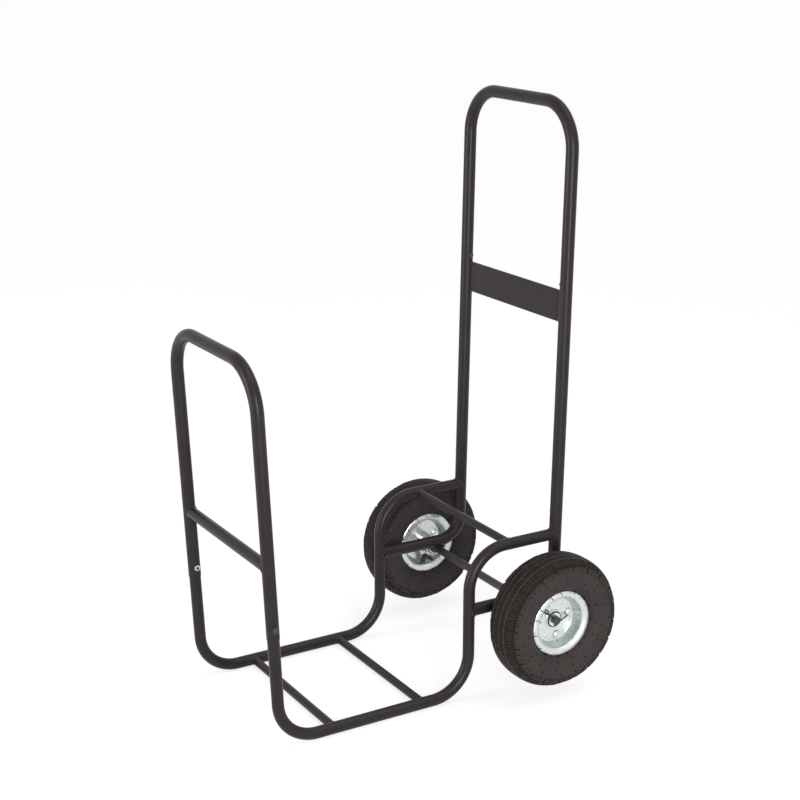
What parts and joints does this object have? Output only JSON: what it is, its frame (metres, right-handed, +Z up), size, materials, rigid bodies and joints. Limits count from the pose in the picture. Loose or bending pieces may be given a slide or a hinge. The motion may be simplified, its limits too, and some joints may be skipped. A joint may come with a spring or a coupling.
{
  "type": "fireside log cart",
  "caption": "Tubular steel firewood cart with a front hoop, floor rails, a tall push handle and pneumatic wheels on a fixed axle.",
  "frame": {"origin": "on the floor, under the middle of the cart's box, at the height of the floor rails' undersides", "axes": "+X to the left of a person who stands behind the cart and pushes it, +Y to the rear, towards that person, +Z up"},
  "size_m": [0.565, 0.7188, 1.1222],
  "materials": {
    "frame_paint": "satin charcoal powder coat with a fine grain",
    "axle_steel": "dark drawn steel, lightly greased",
    "zinc_hardware": "bright zinc plating",
    "black_hardware": "black oxide or dark zinc, satin",
    "bearing_steel": "ground steel, greased",
    "tyre_rubber": "matt moulded rubber",
    "tube_rubber": "smooth rubber",
    "rim_zinc": "pressed sheet steel, bright zinc plating"
  },
  "bodies": {
    "frame": {"front_hoop": "frame_paint", "hoop_crossbar": "frame_paint", "side_frame_left": "frame_paint", "side_frame_right": "frame_paint", "rear_upright_left": "frame_paint", "rear_upright_right": "frame_paint", "back_plate": "frame_paint", "push_handle": "frame_paint", "floor_bar_front": "frame_paint", "floor_bar_rear": "frame_paint", "shelf_bar": "frame_paint", "axle": "axle_steel", "axle_stop_rings": "axle_steel", "axle_washers_inner": "zinc_hardware", "axle_washers_outer": "zinc_hardware", "cotter_pins": "black_hardware", "bearing_inner_rings": "bearing_steel", "hoop_bolts": "black_hardware", "hoop_nuts": "zinc_hardware", "handle_screws": "black_hardware"},
    "wheel_left": {"tyre_left": "tyre_rubber", "inner_tube_left": "tube_rubber", "rim_outer_left": "rim_zinc", "rim_inner_left": "rim_zinc", "hub_left": "rim_zinc", "bearing_outer_rings_left": "bearing_steel", "bearing_balls_left": "bearing_steel", "rim_bolts_left": "zinc_hardware", "rim_nuts_left": "zinc_hardware", "valve_stem_left": "tube_rubber"},
    "wheel_right": {"tyre_right": "tyre_rubber", "inner_tube_right": "tube_rubber", "rim_outer_right": "rim_zinc", "rim_inner_right": "rim_zinc", "hub_right": "rim_zinc", "bearing_outer_rings_right": "bearing_steel", "bearing_balls_right": "bearing_steel", "rim_bolts_right": "zinc_hardware", "rim_nuts_right": "zinc_hardware", "valve_stem_right": "tube_rubber"}
  },
  "joints": [
    {"name": "wheel_left_spin", "type": "hinge", "parent": "frame", "child": "wheel_left", "pos_m": [0.24, 0.22938, 0.1566], "axis": [1, 0, 0], "continuous": true},
    {"name": "wheel_right_spin", "type": "hinge", "parent": "frame", "child": "wheel_right", "pos_m": [-0.24, 0.22938, 0.1566], "axis": [1, 0, 0], "continuous": true}
  ]
}
